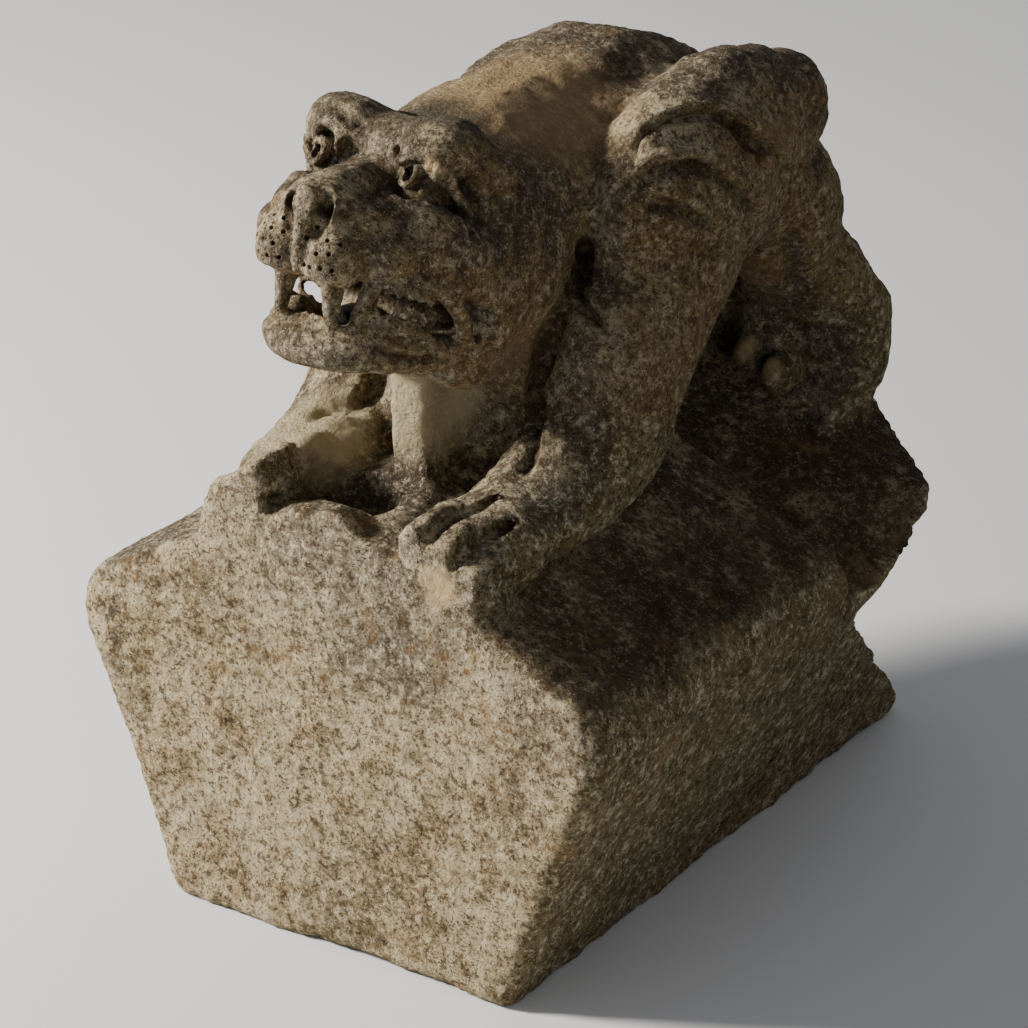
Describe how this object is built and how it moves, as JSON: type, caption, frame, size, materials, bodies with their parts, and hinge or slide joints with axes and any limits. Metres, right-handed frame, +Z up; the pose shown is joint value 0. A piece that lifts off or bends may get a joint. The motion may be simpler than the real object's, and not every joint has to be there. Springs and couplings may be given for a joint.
{
  "type": "carved stone gargoyle on a coping block",
  "caption": "Carved stone beast crouching astride a saddle-backed coping block, mouth open, with a V rebate across the back.",
  "frame": {"origin": "centre of the flat underside of the coping block", "axes": "+Z up from the underside, -Y towards the block's front face and the beast's muzzle, +X to the beast's left"},
  "size_m": [0.476, 0.602, 0.6432],
  "materials": {
    "stone": "weathered buff sandstone, pitted and rough, with dark crust, green algae and lichen"
  },
  "bodies": {
    "root": {"gargoyle_stone": "stone"}
  },
  "joints": []
}
